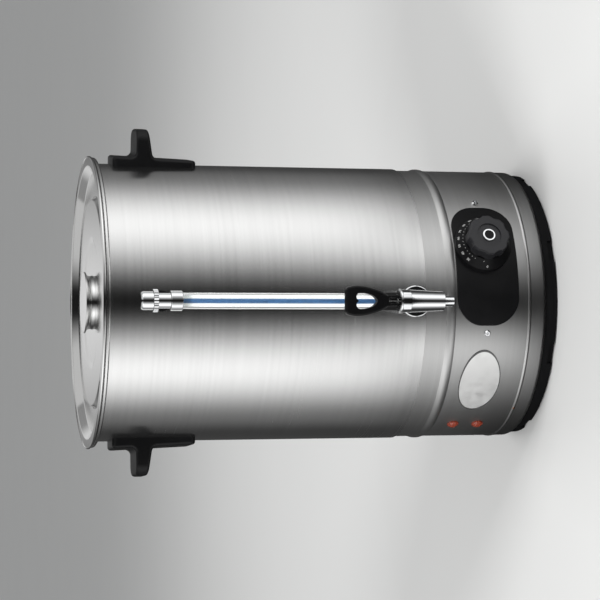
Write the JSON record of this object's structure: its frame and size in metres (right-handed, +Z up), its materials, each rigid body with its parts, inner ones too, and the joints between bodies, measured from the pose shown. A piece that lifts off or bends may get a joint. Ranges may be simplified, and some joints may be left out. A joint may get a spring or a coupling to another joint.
{
  "type": "hot water urn",
  "caption": "Round stainless steel hot water urn with lift-off lid, side handles, sight gauge, lever draw-off tap, thermostat dial and pilot lamps.",
  "frame": {"origin": "centre of the foot ring's underside, on the table", "axes": "+Z up along the urn's axis; the tap and the sight gauge face -Y; +X is to the right of someone facing the tap"},
  "size_m": [0.3768, 0.3674, 0.4887],
  "materials": {
    "brushed_steel": "brushed",
    "polished_steel": "polished",
    "plated_steel": "bright",
    "zinc_steel": "zinc plated",
    "chrome_plate": "polished",
    "brass": "turned",
    "copper_bulb": "drawn",
    "satin_aluminium": "satin",
    "cast_aluminium": "as cast",
    "element_sheath": "oxidised",
    "black_phenolic": "semi-gloss moulded",
    "black_plastic": "matt moulded",
    "white_plastic": "matt moulded",
    "black_paint": "semi-gloss",
    "blue_enamel": "fused stripe",
    "red_lens": "clear moulded",
    "rubber": "matt",
    "seal_rubber": "matt",
    "glass": "clear tube"
  },
  "bodies": {
    "urn": {"base_tray": "black_plastic", "foot_ring": "rubber", "base_skirt": "brushed_steel", "tank": "brushed_steel", "tank_floor": "polished_steel", "handle_right": "black_phenolic", "handle_left": "black_phenolic", "handle_screws": "plated_steel", "handle_washers": "seal_rubber", "handle_nuts": "plated_steel", "tap_body": "chrome_plate", "tap_nozzle": "chrome_plate", "tap_gasket": "seal_rubber", "tap_locknut": "brass", "tap_bonnet": "chrome_plate", "tap_spring": "plated_steel", "gauge_tee": "chrome_plate", "gauge_cap": "chrome_plate", "gauge_collar": "chrome_plate", "gauge_upper_nut": "chrome_plate", "gauge_lower_nut": "chrome_plate", "gauge_seals": "seal_rubber", "gauge_glass": "glass", "gauge_stripe": "blue_enamel", "gauge_locknut": "brass", "control_plate": "black_paint", "control_strap": "zinc_steel", "panel_screws": "chrome_plate", "dial_ring": "black_plastic", "thermostat_body": "zinc_steel", "thermostat_nut": "brass", "thermostat_sensor": "copper_bulb", "bulb_clip": "zinc_steel", "lamp_lenses": "red_lens", "lamp_bodies": "black_plastic", "badge_plate": "satin_aluminium", "heater_plate": "cast_aluminium", "heating_element": "element_sheath", "heater_nut": "zinc_steel", "boil_dry_cutout": "black_phenolic", "tie_rods": "zinc_steel", "heat_shield": "cast_aluminium", "shield_nuts": "zinc_steel", "base_screws": "zinc_steel", "terminal_block": "white_plastic", "earth_nut": "brass", "inlet_body": "black_plastic", "inlet_blades": "brass", "inlet_screws": "plated_steel"},
    "lid": {"lid_pan": "polished_steel", "lid_knob": "polished_steel", "lid_knob_washer": "seal_rubber", "lid_knob_screw": "plated_steel"},
    "stem": {"tap_stem": "chrome_plate", "tap_seat_cup": "seal_rubber"},
    "lever": {"tap_lever": "black_phenolic", "lever_pin": "plated_steel"},
    "knob": {"thermostat_knob": "black_phenolic", "knob_cap": "chrome_plate", "thermostat_shaft": "plated_steel"}
  },
  "joints": [
    {"name": "lid_lift", "type": "slide", "parent": "urn", "child": "lid", "axis": [0, 0, 1], "range_m": [0, 0.1]},
    {"name": "tap_stem_lift", "type": "slide", "parent": "urn", "child": "stem", "axis": [0, 0, 1], "range_m": [0, 0.004], "deforming": ["tap_spring"]},
    {"name": "tap_lever_pull", "type": "hinge", "parent": "stem", "child": "lever", "pos_m": [0, -0.197, 0.2024], "axis": [1, 0, 0], "range_deg": [0, 40], "stiffness_Nm_per_rad": 0.35, "springref_deg": -8.59},
    {"name": "thermostat_turn", "type": "hinge", "parent": "urn", "child": "knob", "pos_m": [0.06843, -0.15756, 0.0825], "axis": [-0.3983, 0.9172, 0], "range_deg": [0, 270]}
  ],
  "couplings": [
    {"joint": "tap_stem_lift", "follows": "tap_lever_pull", "m_per_rad": 0.005729}
  ]
}
